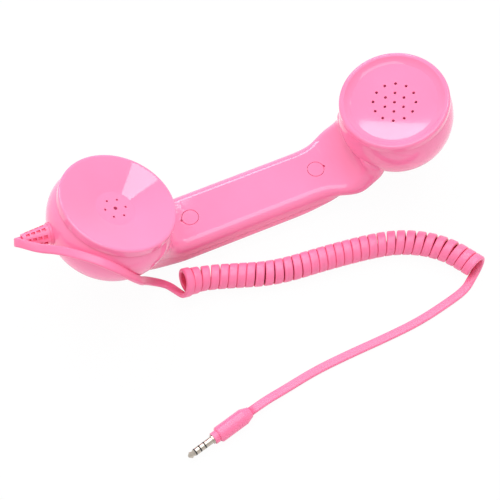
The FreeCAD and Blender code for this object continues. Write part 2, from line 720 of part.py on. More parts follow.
holder_top = HOLDER_THICK - MOUTH_LEDGE_DEPTH
mic_bore = MIC_RADIUS + FIT
mic_boot_radius = mic_bore + MIC_BOOT_WALL
holder_bore = mic_boot_radius + FIT
holder = disc(BORE_RADIUS - RUN_CLEAR, -MOUTH_LEDGE_DEPTH, holder_top)
holder = holder.fuse(disc(holder_bore + HOLDER_TUBE_WALL, -MOUTH_LEDGE_DEPTH - HOLDER_TUBE, holder_top))
holder = holder.cut(disc(holder_bore, -MOUTH_LEDGE_DEPTH - HOLDER_TUBE - OVERCUT, holder_top + OVERCUT))
save("mic_holder", placed(holder, mouth.place))
mic_back = holder_top - MIC_LENGTH
mic_boot = disc(mic_boot_radius, mic_back - MIC_LIP, holder_top)
mic_boot = mic_boot.fuse(disc(holder_bore + HOLDER_TUBE_WALL, holder_top, holder_top + MIC_LIP))
mic_boot = mic_boot.cut([disc(mic_bore, mic_back, holder_top + OVERCUT),
                         disc(mic_bore - MIC_BOOT_WALL, mic_back - OVERCUT, mic_back + OVERCUT)])
save("mic_boot", placed(mic_boot, mouth.place))
save("mic_capsule", placed(disc(MIC_RADIUS, mic_back, holder_top), mouth.place))


# Strain relief boot through the wall of the mouth bowl, and the cord's anchor behind it

dome_centre = Vec(mouth.dome - mouth.radius, 0, -mouth.swell)
boot_place = mouth.place.multiply(Place(dome_centre, Turn(Y_AXIS, -90 - BOOT_DROP)))
boot_seat = mouth.dome - BOOT_SPOT
boot_cone = boot_seat + BOOT_COLLAR
boot_tip = boot_cone + BOOT_LENGTH
flange_face = math.sqrt((mouth.dome - SHELL_WALL) ** 2 - BOOT_FLANGE_RADIUS ** 2) - FIT
flange_back = flange_face - BOOT_FLANGE
boot = lathe(
    (0, flange_back),
    (BOOT_FLANGE_RADIUS, flange_back),
    (BOOT_FLANGE_RADIUS, flange_face),
    (BOOT_NECK_RADIUS, flange_face),
    (BOOT_NECK_RADIUS, boot_seat),
    (BOOT_COLLAR_RADIUS, boot_seat),
    (BOOT_COLLAR_RADIUS, boot_cone),
    (BOOT_BASE_RADIUS, boot_cone),
    (BOOT_TIP_RADIUS, boot_tip),
    (0, boot_tip))
row_pitch = BOOT_LENGTH / (BOOT_ROWS + 1)
windows = []
for row in range(BOOT_ROWS):
    middle = boot_cone + row_pitch * (row + 1)
    share = (middle - boot_cone) / BOOT_LENGTH
    radius = BOOT_BASE_RADIUS + (BOOT_TIP_RADIUS - BOOT_BASE_RADIUS) * share
    window_width = BOOT_WINDOW_WIDTH * radius / BOOT_BASE_RADIUS
    window = Part.makeBox(BOOT_WINDOW_DEPTH + OVERCUT, window_width, BOOT_WINDOW)
    window.translate(Vec(radius - BOOT_WINDOW_DEPTH, -window.BoundBox.YLength / 2, middle - BOOT_WINDOW / 2))
    windows += around(window, BOOT_COLUMNS)
save("strain_relief_boot", placed(boot.cut(windows), boot_place))
front_shell = front_shell.cut([
    placed(disc(BOOT_COLLAR_RADIUS + FIT, boot_seat, boot_tip), boot_place),
    placed(disc(BOOT_NECK_RADIUS + FIT, flange_back, boot_seat + OVERCUT), boot_place)])
anchor_back = flange_back - ANCHOR_LENGTH
anchor_corner = Vec(-ANCHOR_THICK / 2, -ANCHOR_WIDTH / 2, anchor_back)
anchor = Part.makeBox(ANCHOR_THICK, ANCHOR_WIDTH, ANCHOR_LENGTH, anchor_corner)
save("cord_anchor", placed(anchor, boot_place))

save("front_shell", front_shell)
save("back_shell", back_shell)


# Wires from the anchor

def wire_tube(points):
    """Round wire along straight runs and tangent arcs."""
    path = Part.Wire(rounded_edges(points, easy_radii(points)))
    start = points[1] - points[0]
    section = Part.Wire(Part.makeCircle(WIRE_RADIUS, points[0], start))
    return path.makePipeShell([section], True, False)


wire_side = front_boss + WIRE_RADIUS + WIRE_CLEAR
wire_height = SHELL_WALL + BALLAST_THICK + WIRE_RADIUS + WIRE_CLEAR
wire_end = (BASKET_BASE_RADIUS + MAGNET_RADIUS) / 2
mic_wires = []
receiver_wires = []
for index in range(2):
    at_anchor = WIRE_PITCH * (index + 0.5)
    mic_end = Vec(-MIC_RADIUS / 2, -at_anchor, mic_back)
    mic_wires.append(wire_tube([
        boot_place.multVec(Vec(0, -at_anchor, anchor_back)),
        boot_place.multVec(Vec(0, -at_anchor, anchor_back - WIRE_START)),
        mouth.place.multVec(Vec(mic_end.x, mic_end.y, -WIRE_DEPTH)),
        mouth.place.multVec(mic_end)]))
    side = wire_side + WIRE_PITCH * index
    ear_end = Vec(-math.sqrt(wire_end ** 2 - side ** 2), side, basket_floor)
    receiver_wires.append(wire_tube([
        boot_place.multVec(Vec(0, at_anchor, anchor_back)),
        boot_place.multVec(Vec(0, at_anchor, anchor_back - WIRE_START)),
        mouth.place.multVec(Vec(-WIRE_TURN, at_anchor, -WIRE_DEPTH)),
        Vec(MOUTH_RISE_START, side, wire_height),
        Vec(EAR_RISE_START, side, wire_height),
        Vec(EAR_PARTING_RISE[0], side, EAR_PARTING_RISE[1]),
        ear.place.multVec(ear_end - Z_AXIS * WIRE_RISE),
        ear.place.multVec(ear_end)]))
save("mic_wires", Part.makeCompound(mic_wires))
save("receiver_wires", Part.makeCompound(receiver_wires))


# Flat cord

def band_corners(point, tangent, wide):
    """Corners of the cord's chamfered section, square to the tangent."""
    side = (wide - tangent * wide.dot(tangent)).normalize()
    normal = tangent.cross(side)
    across = CORD_WIDTH / 2
    thick = CORD_THICK / 2
    flat = across - CORD_CHAMFER
    high = thick - CORD_CHAMFER
    outline = ((across, -high), (across, high), (flat, thick), (-flat, thick),
               (-across, high), (-across, -high), (-flat, -thick), (flat, -thick))
    return [point + side * u + normal * v for u, v in outline]


def edge_through(start, middle, end):
    """Arc through three points, or a line if they lie in one."""
    bow = (middle - (start + end) * 0.5).Length
    if bow < STRAIGHT_BOW:
        return Part.LineSegment(start, end).toShape()
    return Part.Arc(start, middle, end).toShape()


def flat_band(name, stations):
    """One unbroken flat cord through stations of point, tangent and wide direction."""
    corners = [band_corners(*station) for station in stations]
    faces = []
    for first, middle, last in zip(corners[::2], corners[1::2], corners[2::2]):
        rails = [edge_through(*ends) for ends in zip(first, middle, last)]
        for index, rail in enumerate(rails):
            faces.append(Part.makeRuledSurface(rail, rails[(index + 1) % len(rails)]))
    for end in (corners[0], corners[-1]):
        faces.append(Part.Face(Part.makePolygon(end + end[:1])))
    band = Part.makeShell(faces)
    band.sewShape()
    solid = Part.makeSolid(Part.Shell(band.Faces))
    if solid.Volume < 0:
        solid.reverse()
    spots = [station[0] for station in stations]
    length = sum(edge_through(*ends).Length for ends in zip(spots[::2], spots[1::2], spots[2::2]))
    section = CORD_WIDTH * CORD_THICK - 2 * CORD_CHAMFER ** 2
    print(name, "valid", solid.isValid(), "length", round(length, 1),
          "volume over section times length", round(solid.Volume / (section * length), 4))
    save(name, solid)
    return length


def path_stations(edges, start_wide, end_wide, hold):
    """Stations on a rounded path; the cord is carried along it and twists evenly after a first hold."""
    total = sum(edge.Length for edge in edges)
    spots = []
    gone = 0
    for edge in edges:
        for share in (0.5, 1) if spots else (0, 0.5, 1):
            where = edge.getParameterByLength(edge.Length * share)
            spots.append((edge.valueAt(where), edge.tangentAt(where), gone + edge.Length * share))
        gone += edge.Length
    carried = []
    side = start_wide
    for point, tangent, along in spots:
        side = (side - tangent * side.dot(tangent)).normalize()
        carried.append(side)
    last = spots[-1][1]
    twist = math.atan2(last.dot(side.cross(end_wide)), side.dot(end_wide))
    twist -= math.pi * round(twist / math.pi)
    stations = []
    for (point, tangent, along), side in zip(spots, carried):
        angle = twist * max(0, along - hold) / (total - hold)
        stations.append((point, tangent, side * math.cos(angle) + tangent.cross(side) * math.sin(angle)))
    return stations


class Axis:
    """Axis of the coil, by length along its runs and arcs."""

    def __init__(self, points, bends):
        self.edges = rounded_edges(points, bends)
        self.bends = bends
        self.length = sum(edge.Length for edge in self.edges)

    def at(self, along):
        """Point, direction and sharpness of the bend."""
        for index, edge in enumerate(self.edges):
            if along <= edge.Length or index == len(self.edges) - 1:
                break
            along -= edge.Length
        where = edge.getParameterByLength(min(along, edge.Length))
        sharp = 1 / self.bends[index // 2] if index % 2 else 0
        return edge.valueAt(where), edge.tangentAt(where), sharp


def coil_station(along, angle, pitch, radius):
    point, ahead = axis.at(along)[:2]
    side = ahead.cross(Z_AXIS).normalize()
    up = side.cross(ahead)
    out = side * math.cos(angle) + up * math.sin(angle)
    turning = up * math.cos(angle) - side * math.sin(angle)
    tangent = (turning * radius + ahead * (pitch / (2 * math.pi))).normalize()
    return point + out * radius, tangent, ahead


axis = Axis([Vec(*point) for point in COIL_POINTS], COIL_BENDS)
coil_turns = []
along = 0
coil_steps = COIL_TURNS * STEPS_PER_TURN
coil_sweep = math.radians(360 * COIL_TURNS + COIL_END_ANGLE - COIL_START_ANGLE)
for step in range(coil_steps + 1):
    tightness = min(1, step / (STEPS_PER_TURN * FIRST_RING_TURNS))
    radius = COIL_RADIUS + FIRST_RING_EXTRA * (1 - tightness)
    pitch = (CORD_WIDTH + COIL_GAP) / (1 - (radius + CORD_THICK / 2) * axis.at(along)[2])
    angle = math.radians(COIL_START_ANGLE) + coil_sweep * step / coil_steps
    coil_turns.append(coil_station(along, angle, pitch, radius))
    along += pitch * coil_sweep / (2 * math.pi * coil_steps)
print("coil uses", round(along, 1), "of its axis", round(axis.length, 1))


def stub(station, ahead):
    """A straight end of one cord's width, with a station half way."""
    point, tangent, wide = station
    run = tangent * (CORD_WIDTH * ahead)
    return [(point + run * share, tangent, wide) for share in (0.5, 1)]


coil_start = stub(coil_turns[0], -1)
coil_end = stub(coil_turns[-1], 1)
coil_stations = coil_start[::-1] + coil_turns + coil_end
coil_length = flat_band("curly_cord", coil_stations)

tail_tip = boot_place.multVec(Vec(0, 0, boot_tip))
tail_way = boot_place.Rotation.multVec(Z_AXIS)
fold = Vec(*FOLD_SIDE)
fold = (fold - tail_way * fold.dot(tail_way)).normalize()
tail_join, join_way, join_wide = coil_start[-1]
fold_back = tail_tip + tail_way * FOLD_OUT
tail_points = [tail_tip, fold_back, fold_back + fold * FOLD_WIDTH]
tail_points += [Vec(*point) for point in TAIL_POINTS]
tail_points += [tail_join - join_way * TAIL_END, tail_join]
tail_radii = [FOLD_RADIUS, FOLD_RADIUS] + easy_radii(tail_points)[2:]
print("tail radii", [round(radius, 1) for radius in tail_radii])
tail_edges = rounded_edges(tail_points, tail_radii)
tail_stations = path_stations(tail_edges, tail_way.cross(fold), join_wide, FOLD_OUT + FOLD_WIDTH)
tail_length = flat_band("cord_tail", tail_stations)

plug_turn = Turn(Z_AXIS, PLUG_HEADING).multiply(Turn(Y_AXIS, 90))
plug_place = Place(Vec(PLUG_BACK[0], PLUG_BACK[1], PLUG_RADIUS), plug_turn)
plug_way = plug_turn.multVec(Z_AXIS)
lead_join, lead_way, lead_wide = coil_end[-1]
lead_points = [lead_join, lead_join + lead_way * LEAD_START] + [Vec(*point) for point in LEAD_POINTS]
lead_points += [plug_place.Base - plug_way * LEAD_END, plug_place.Base]
lead_radii = easy_radii(lead_points)
print("lead radii", [round(radius, 1) for radius in lead_radii])
lead_stations = path_stations(rounded_edges(lead_points, lead_radii), lead_wide, Z_AXIS.cross(plug_way), 0)
lead_length = flat_band("cord_lead", lead_stations)
print("cord length", round(tail_length + coil_length + lead_length))


# Plug, from its back end along its axis

front = PLUG_GRIP
shoulder = (PLUG_RADIUS - PLUG_ROUND, front - PLUG_ROUND)
plug_grip = lathe(
    (0, 0),
    (PLUG_BACK_RADIUS, 0),
    (PLUG_RADIUS, PLUG_TAPER),
    (PLUG_RADIUS, front - PLUG_ROUND),
    (on_arc(shoulder, PLUG_ROUND, 45), (PLUG_RADIUS - PLUG_ROUND, front)),
    (PLUG_COLLAR_RADIUS, front),
    (PLUG_COLLAR_RADIUS, front + PLUG_COLLAR),
    (0, front + PLUG_COLLAR))
save("plug_grip", placed(plug_grip, plug_place))
here = front + PLUG_COLLAR
sleeve = disc(PIN_FLANGE_RADIUS, here, here + PIN_FLANGE)
here += PIN_FLANGE
sleeve = sleeve.fuse(disc(PIN_RADIUS, here, here + SLEEVE_LENGTH))
here += SLEEVE_LENGTH
save("plug_sleeve", placed(sleeve, plug_place))
insulators = []
for name in ("plug_ring_2", "plug_ring_1", None):
    insulators.append(placed(disc(PIN_RADIUS, here, here + INSULATOR), plug_place))
    here += INSULATOR
    if name:
        save(name, placed(disc(PIN_RADIUS, here, here + RING_LENGTH), plug_place))
        here += RING_LENGTH
save("plug_insulators", Part.makeCompound(insulators))
neck_radius = PIN_RADIUS - TIP_NECK
tip = lathe(
    (0, here),
    (PIN_RADIUS, here),
    (neck_radius, here + TIP_LENGTH * TIP_WAIST_SHARE),
    (PIN_RADIUS, here + TIP_LENGTH * TIP_CROWN_SHARE),
    (TIP_NECK, here + TIP_LENGTH),
    (0, here + TIP_LENGTH))
save("plug_tip", placed(tip, plug_place))


# Least gap of the coil to itself, on points of its turns

edge_points = []
for point, tangent, wide in coil_turns:
    side = (wide - tangent * wide.dot(tangent)).normalize()
    edge_points.append((point + side * (CORD_WIDTH / 2), point - side * (CORD_WIDTH / 2)))
fronts = [pair[0] for pair in edge_points]
backs = [pair[1] for pair in edge_points]
gaps = []
for index, front_edge in enumerate(fronts):
    for other in backs[index + STEPS_PER_TURN - 2:index + STEPS_PER_TURN + 3]:
        gaps.append((other - front_edge).Length)
print("least gap of the coil to itself", round(min(gaps), 2))
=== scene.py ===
"""A pink retro telephone handset on a pale table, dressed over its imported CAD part."""

import math

import bmesh
import bpy
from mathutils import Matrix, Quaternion, Vector


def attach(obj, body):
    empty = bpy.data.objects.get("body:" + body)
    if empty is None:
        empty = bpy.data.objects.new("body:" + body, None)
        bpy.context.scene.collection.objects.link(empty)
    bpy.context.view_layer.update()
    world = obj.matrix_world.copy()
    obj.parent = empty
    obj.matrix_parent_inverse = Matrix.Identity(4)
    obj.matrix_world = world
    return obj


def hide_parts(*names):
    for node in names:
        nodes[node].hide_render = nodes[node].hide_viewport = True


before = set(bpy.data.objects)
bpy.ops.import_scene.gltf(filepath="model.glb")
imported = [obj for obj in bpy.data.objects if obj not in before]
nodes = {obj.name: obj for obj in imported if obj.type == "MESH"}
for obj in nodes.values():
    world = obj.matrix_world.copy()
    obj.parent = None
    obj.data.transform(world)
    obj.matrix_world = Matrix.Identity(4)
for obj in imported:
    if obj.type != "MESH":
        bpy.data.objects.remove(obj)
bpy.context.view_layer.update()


# Front and back shell of the handset
# Two glossy ABS mouldings, dyed through, that meet along a fine parting line.
# The polished mould leaves a faint orange peel that softens the edges of reflections.

SHELL_PINK = (0.95, 0.225, 0.43)
SHELL_SHINE = (0.04, 0.08)
SHELL_COAT = 0.2
PEEL_SIZE = 170
PEEL_HEIGHT = 0.000008
GRAIN_DETAIL = 3
CLOUD_SIZE = 24
CLOUD_DEPTH = 0.05
CLOUD_DETAIL = 2
NOISE_LOW = 0.3
NOISE_HIGH = 0.7
# Painted shade: a deep red multiplied into the colour where a piece closely faces itself.
PAINTED_SHADE_TINT = (0.9, 0.07, 0.16, 1)
OPEN_ENOUGH = 0.75

# Sockets of a node that mixes two colours
MIX_FIRST = 6
MIX_SECOND = 7
MIX_RESULT = 2


def add_node(tree, kind, **settings):
    """A shader node with its plain settings."""
    node = tree.nodes.new(kind)
    for key, value in settings.items():
        setattr(node, key, value)
    return node


def noise(tree, place, scale, detail):
    """A noise value at each place."""
    grain = add_node(tree, "ShaderNodeTexNoise")
    grain.inputs["Scale"].default_value = scale
    grain.inputs["Detail"].default_value = detail
    tree.links.new(place, grain.inputs["Vector"])
    return grain.outputs["Fac"]


def spread(tree, value, low, high):
    """A noise value spread over a range."""
    node = add_node(tree, "ShaderNodeMapRange")
    node.inputs["From Min"].default_value = NOISE_LOW
    node.inputs["From Max"].default_value = NOISE_HIGH
    node.inputs["To Min"].default_value = low
    node.inputs["To Max"].default_value = high
    tree.links.new(value, node.inputs["Value"])
    return node.outputs["Result"]


def clouded(tree, place, colour):
    """The dye's colour, a little deeper and paler in soft clouds."""
    mix = add_node(tree, "ShaderNodeMix", data_type="RGBA")
    deep = [part * (1 - CLOUD_DEPTH) for part in colour]
    pale = [min(1, part * (1 + CLOUD_DEPTH)) for part in colour]
    mix.inputs[MIX_FIRST].default_value = (*deep, 1)
    mix.inputs[MIX_SECOND].default_value = (*pale, 1)
    clouds = noise(tree, place, CLOUD_SIZE, CLOUD_DETAIL)
    tree.links.new(spread(tree, clouds, 0, 1), mix.inputs["Factor"])
    return mix.outputs[MIX_RESULT]


def painted_crevice_shade(tree, base_colour, reach):
    """The colour with painted shade: darker where the piece faces itself within reach, as shade falls
    there.
    """
    openness = add_node(tree, "ShaderNodeAmbientOcclusion", only_local=True)
    openness.inputs["Distance"].default_value = reach
    painted_shade = add_node(tree, "ShaderNodeMix", data_type="RGBA", blend_type="MULTIPLY")
    painted_shade.inputs[MIX_SECOND].default_value = PAINTED_SHADE_TINT
    closed = add_node(tree, "ShaderNodeMapRange")
    closed.inputs["From Max"].default_value = OPEN_ENOUGH
    closed.inputs["To Min"].default_value = 1
    closed.inputs["To Max"].default_value = 0
    tree.links.new(openness.outputs["AO"], closed.inputs["Value"])
    tree.links.new(closed.outputs["Result"], painted_shade.inputs["Factor"])
    tree.links.new(base_colour, painted_shade.inputs[MIX_FIRST])
    return painted_shade.outputs[MIX_RESULT]


def raised(tree, height, distance):
    """A surface direction that a height tilts."""
    bump = add_node(tree, "ShaderNodeBump")
    bump.inputs["Strength"].default_value = 1
    bump.inputs["Distance"].default_value = distance
    tree.links.new(height, bump.inputs["Height"])
    return bump.outputs["Normal"]


def finish(name, colour, shine, grain_size, grain_height, metallic=0, coat=0,
           stretch=(1, 1, 1), turn=0, lay="Object", shade_reach=0):
    """A moulded, rolled or plated finish: clouded colour, uneven shine and a fine raised grain.

    The grain is drawn out by the stretch, along axes turned about Z.
    A shade reach paints shade into narrow gaps, darkening the colour there.
    """
    made = bpy.data.materials.new(name)
    made.use_nodes = True
    tree = made.node_tree
    shader = tree.nodes["Principled BSDF"]
    place = add_node(tree, "ShaderNodeTexCoord").outputs[lay]
    drawn = add_node(tree, "ShaderNodeMapping", vector_type="TEXTURE")
    drawn.inputs["Rotation"].default_value = (0, 0, turn)
    drawn.inputs["Scale"].default_value = stretch
    tree.links.new(place, drawn.inputs["Vector"])
    grain = noise(tree, drawn.outputs["Vector"], grain_size, GRAIN_DETAIL)
    base_colour = clouded(tree, place, colour)
    # Painted shade darkens the colour in narrow gaps.
    if shade_reach:
        base_colour = painted_crevice_shade(tree, base_colour, shade_reach)
    tree.links.new(base_colour, shader.inputs["Base Color"])
    tree.links.new(spread(tree, grain, *shine), shader.inputs["Roughness"])
    tree.links.new(raised(tree, grain, grain_height), shader.inputs["Normal"])
    shader.inputs["Metallic"].default_value = metallic
    shader.inputs["Coat Weight"].default_value = coat
    return made


def dress(finish_of, *names):
    """Gives CAD nodes a finish."""
    for name in names:
        skin = nodes[name].data.materials
        skin.clear()
        skin.append(finish_of)


gloss_pink = finish("gloss_pink", SHELL_PINK, SHELL_SHINE, PEEL_SIZE, PEEL_HEIGHT, coat=SHELL_COAT)
dress(gloss_pink, "front_shell", "back_shell")


# Ear cap and mouth cap
# Turned-looking ABS covers that twist off on three lugs. The ear cap is dished inside a raised
# rim, the mouth cap is a shallow cone; both are drilled with rings of sound holes.

CAP_PINK = (0.95, 0.222, 0.425)

cap_pink = finish("cap_pink", CAP_PINK, SHELL_SHINE, PEEL_SIZE, PEEL_HEIGHT, coat=SHELL_COAT)
dress(cap_pink, "ear_cap", "mouth_cap")


# Screws and their covers
# Small ABS discs pushed into round recesses of the grip, over two zinc-plated screws.

ZINC_GREY = (0.6, 0.6, 0.58)
PLATED_SHINE = (0.25, 0.4)
FINE_GRAIN = 900
FINE_HEIGHT = 0.00002

dress(gloss_pink, "screw_cover_ear", "screw_cover_mouth")
zinc = finish("zinc_plating", ZINC_GREY, PLATED_SHINE, FINE_GRAIN, FINE_HEIGHT, metallic=1)
dress(zinc, "shell_screws")


# Ballast in the grip
# A length of rolled steel bar that gives the light handset a solid weight.

STEEL_GREY = (0.36, 0.36, 0.37)
STEEL_SHINE = (0.35, 0.55)
ROLLED_GRAIN = 300
DEEP_HEIGHT = 0.00005
ROLLED_STRETCH = (20, 1, 1)

rolled = finish("rolled_steel", STEEL_GREY, STEEL_SHINE, ROLLED_GRAIN, DEEP_HEIGHT, metallic=1,
                stretch=ROLLED_STRETCH)
dress(rolled, "ballast_bar")


# Receiver under the ear cap
# A small speaker: black plastic basket, iron magnet, cream film cone and a rubber gasket.

BASKET_BLACK = (0.05, 0.05, 0.055)
MOULDED_SHINE = (0.4, 0.55)
BASKET_GRAIN = 500
LOW_HEIGHT = 0.00003
MAGNET_GREY = (0.16, 0.16, 0.165)
MAGNET_SHINE = (0.4, 0.6)
METAL_GRAIN = 700
MAGNET_HEIGHT = 0.00004
FILM_CREAM = (0.72, 0.7, 0.64)
FILM_SHINE = (0.12, 0.25)
FILM_GRAIN = 350
RUBBER_BLACK = (0.03, 0.03, 0.03)
RUBBER_SHINE = (0.6, 0.8)
RUBBER_GRAIN = 800

basket = finish("speaker_basket", BASKET_BLACK, MOULDED_SHINE, BASKET_GRAIN, LOW_HEIGHT)
magnet = finish("magnet_iron", MAGNET_GREY, MAGNET_SHINE, METAL_GRAIN, MAGNET_HEIGHT, metallic=1)
film = finish("speaker_film", FILM_CREAM, FILM_SHINE, FILM_GRAIN, LOW_HEIGHT)
rubber = finish("black_rubber", RUBBER_BLACK, RUBBER_SHINE, RUBBER_GRAIN, DEEP_HEIGHT)
dress(basket, "receiver_frame")
dress(magnet, "receiver_magnet")
dress(film, "receiver_cone")
dress(rubber, "receiver_gasket")


# Microphone under the mouth cap
# An electret capsule in a rubber sleeve, held by a moulded plate on the bowl's ledge.

HOLDER_GREY = (0.3, 0.3, 0.31)
HOLDER_GRAIN = 600
CAN_GREY = (0.7, 0.7, 0.71)

plate_grey = finish("holder_plastic", HOLDER_GREY, MOULDED_SHINE, HOLDER_GRAIN, LOW_HEIGHT)
can = finish("capsule_can", CAN_GREY, PLATED_SHINE, FINE_GRAIN, FINE_HEIGHT, metallic=1)
dress(plate_grey, "mic_holder")
dress(rubber, "mic_boot")
dress(can, "mic_capsule")


# Wires and crimp
# Two pairs of thin stranded wires that run from a brass crimp on the cord's inner end.

BRASS_YELLOW = (0.75, 0.52, 0.2)
JACKET_RED = (0.55, 0.03, 0.03)
JACKET_WHITE = (0.75, 0.75, 0.73)
JACKET_SHINE = (0.35, 0.5)

brass = finish("crimp_brass", BRASS_YELLOW, PLATED_SHINE, METAL_GRAIN, LOW_HEIGHT, metallic=1)
red_jacket = finish("red_jacket", JACKET_RED, JACKET_SHINE, FINE_GRAIN, FINE_HEIGHT)
white_jacket = finish("white_jacket", JACKET_WHITE, JACKET_SHINE, FINE_GRAIN, FINE_HEIGHT)
dress(brass, "cord_anchor")
dress(red_jacket, "receiver_wires")
dress(white_jacket, "mic_wires")


# Strain relief boot
# Soft PVC moulded onto the cord: a tapered sleeve with rows of square windows that let it bend.

FLEX_PINK = (0.94, 0.188, 0.37)
FLEX_SHINE = (0.31, 0.35)
FLEX_GRAIN = 300
FLEX_HEIGHT = 0.000004
# Painted shade darkens the boot's square windows within this reach.
BOOT_SHADE_REACH = 0.003

flex_pink = finish("flexible_pink", FLEX_PINK, FLEX_SHINE, FLEX_GRAIN, FLEX_HEIGHT, shade_reach=BOOT_SHADE_REACH)
dress(flex_pink, "strain_relief_boot")


# Flat curly cord
# One flat PVC cord that folds back over the boot, drops round the mouth bowl, winds into a coil and
# runs to the plug. The tail repeats the CAD's points; coil and lead follow the photograph more closely.

CORD_WIDTH = 0.0044
CORD_THICK = 0.0021
CORD_ROUND = 0.0008
CORD_CORNER_STEPS = 4
CORD_STEPS = 4
CORD_STRETCH = (60, 30, 1)
# Painted shade darkens the gaps between the cord's turns and the coil's bore within this reach.
CORD_SHADE_REACH = 0.012
COIL_RADIUS = 0.0053
COIL_TURNS = 33
COIL_START = -60
COIL_END = -90
COIL_SWEEP = math.radians(360 * COIL_TURNS + COIL_END - COIL_START)
COIL_POINTS_PER_TURN = 14
COIL_AXIS_STEPS = 40
FIRST_RING_EXTRA = 0.0012
FIRST_RING_TURNS = 2
COIL_STUB = 0.004
TAIL_END = 0.014
LEAD_START = 0.012
TAIL_ROUTE = (
    (-0.12345, 0, 0.05546),
    (-0.12698, 0, 0.05617),
    (-0.1261, -0.00272, 0.06051),
    (-0.118, -0.0086, 0.058),
    (-0.1105, -0.0134, 0.0594),
    (-0.1022, -0.0212, 0.061),
    (-0.0944, -0.0284, 0.0608),
    (-0.0872, -0.0336, 0.0554),
    (-0.0814, -0.0342, 0.0446),
    (-0.0764, -0.0312, 0.0316),
    (-0.0725, -0.0205, 0.011),
)
COIL_ROUTE = (
    (-0.0556, -0.0299, 0.0112),
    (-0.0484, -0.0297, 0.0087),
    (-0.0402, -0.0309, 0.0072),
    (-0.031, -0.0338, 0.0065),
    (-0.0095, -0.0418, 0.0065),
    (0.02, -0.0444, 0.0065),
    (0.046, -0.0482, 0.0065),
    (0.0584, -0.0522, 0.0065),
    (0.0688, -0.0582, 0.0065),
    (0.0768, -0.0657, 0.0065),
    (0.0817, -0.0732, 0.0065),
    (0.0856, -0.0804, 0.0065),
)
LEAD_ROUTE = (
    (0.063, -0.0906, 0.0012),
    (0.046, -0.0938, 0.0012),
    (0.027, -0.095, 0.0012),
    (0.004, -0.0957, 0.0012),
    (-0.014, -0.0969, 0.0012),
    (-0.031, -0.0998, 0.0013),
    (-0.0432, -0.1024, 0.0041),
    (-0.0519, -0.1046, 0.0041),
)
TAIL_FACE = Vector((0.105, 0.852, 0.513))
PLUG_FACE = Vector((0.242, -0.97, 0))
UPRIGHT = Vector((0, 0, 1))


def add_object(name, data):
    """A new object in the scene."""
    made = bpy.data.objects.new(name, data)
    bpy.context.scene.collection.objects.link(made)
    return made


def smooth_line(name, route, steps):
    """Points read along the smooth spline that a route's points control."""
    line = bpy.data.curves.new(name, "CURVE")
    line.dimensions = "3D"
    spline = line.splines.new("NURBS")
    spline.points.add(len(route) - 1)
    for point, place in zip(spline.points, route):
        point.co = (*place, 1)
    spline.order_u = 3
    spline.use_endpoint_u = True
    spline.resolution_u = steps
    holder = add_object(name, line)
    bpy.context.view_layer.update()
    read = bpy.data.meshes.new_from_object(holder)
    found = [vertex.co.copy() for vertex in read.vertices]
    bpy.data.objects.remove(holder)
    bpy.data.meshes.remove(read)
    return found


def headings(line):
    """The way a line runs at each of its points."""
    ends = zip([line[0], *line[:-1]], [*line[1:], line[-1]])
    return [(after - before).normalized() for before, after in ends]


def carried(line, start_face, end_face):
    """The cord's broad direction at each point of a run: carried along, and twisted evenly to its end."""
    ways = headings(line)
    faces = []
    face = start_face
    for way in ways:
        face = (face - way * face.dot(way)).normalized()
        faces.append(face)
    twist = math.atan2(ways[-1].dot(face.cross(end_face)), face.dot(end_face))
    twist -= math.pi * round(twist / math.pi)
    turned = []
    for index, (way, face) in enumerate(zip(ways, faces)):
        angle = twist * index / (len(line) - 1)
        turned.append(face * math.cos(angle) + way.cross(face) * math.sin(angle))
    return turned


axis = smooth_line("coil_axis", COIL_ROUTE, COIL_AXIS_STEPS)
ways = headings(axis)
phases = [0]
for here, there, way, next_way in zip(axis, axis[1:], ways, ways[1:]):
    run = (there - here).length
    bend = way.angle(next_way) / run
    phases.append(phases[-1] + run * (1 - bend * (COIL_RADIUS + CORD_THICK / 2)))
helix = []
helix_faces = []
helix_ways = []
coil_steps = round(COIL_SWEEP / (2 * math.pi) * COIL_POINTS_PER_TURN)
step = COIL_SWEEP / coil_steps
pitch = phases[-1] / COIL_SWEEP
spot = 0
for count in range(coil_steps + 1):
    phase = min(phases[-1], count * step * pitch)
    while phases[spot + 1] < phase:
        spot += 1
    share = (phase - phases[spot]) / (phases[spot + 1] - phases[spot])
    centre = axis[spot].lerp(axis[spot + 1], share)
    way = ways[spot].lerp(ways[spot + 1], share).normalized()
    side = way.cross(UPRIGHT).normalized()
    up = side.cross(way)
    angle = math.radians(COIL_START) + count * step
    tightness = min(1, count * step / (2 * math.pi * FIRST_RING_TURNS))
    radius = COIL_RADIUS + FIRST_RING_EXTRA * (1 - tightness)
    out = side * math.cos(angle) + up * math.sin(angle)
    turning = up * math.cos(angle) - side * math.sin(angle)
    helix.append(centre + out * (radius / math.cos(step / 2)))
    helix_faces.append(way)
    helix_ways.append((turning * radius + way * pitch).normalized())

tail = [Vector(point) for point in TAIL_ROUTE]
tail += [helix[0] - helix_ways[0] * TAIL_END, helix[0] - helix_ways[0] * COIL_STUB]
lead = [helix[-1] + helix_ways[-1] * COIL_STUB, helix[-1] + helix_ways[-1] * LEAD_START]
lead += [Vector(point) for point in LEAD_ROUTE]
route = tail + helix + lead
faces = carried(tail, TAIL_FACE, helix_faces[0]) + helix_faces + carried(lead, helix_faces[-1], PLUG_FACE)
centre_line = smooth_line("cord_centre", route, CORD_STEPS)
edge_route = [point + face * CORD_WIDTH for point, face in zip(route, faces)]
edge_line = smooth_line("cord_edge", edge_route, CORD_STEPS)

half_wide = CORD_WIDTH / 2
half_thick = CORD_THICK / 2
corner = []
for count in range(CORD_CORNER_STEPS + 1):
    angle = math.pi / 2 * count / CORD_CORNER_STEPS
    inset_wide = CORD_ROUND * (1 - math.cos(angle))
    inset_thick = CORD_ROUND * (1 - math.sin(angle))
    corner.append((half_wide - inset_wide, half_thick - inset_thick))
section = corner + [(-u, v) for u, v in reversed(corner)]
section += [(-u, -v) for u, v in corner] + [(u, -v) for u, v in reversed(corner)]

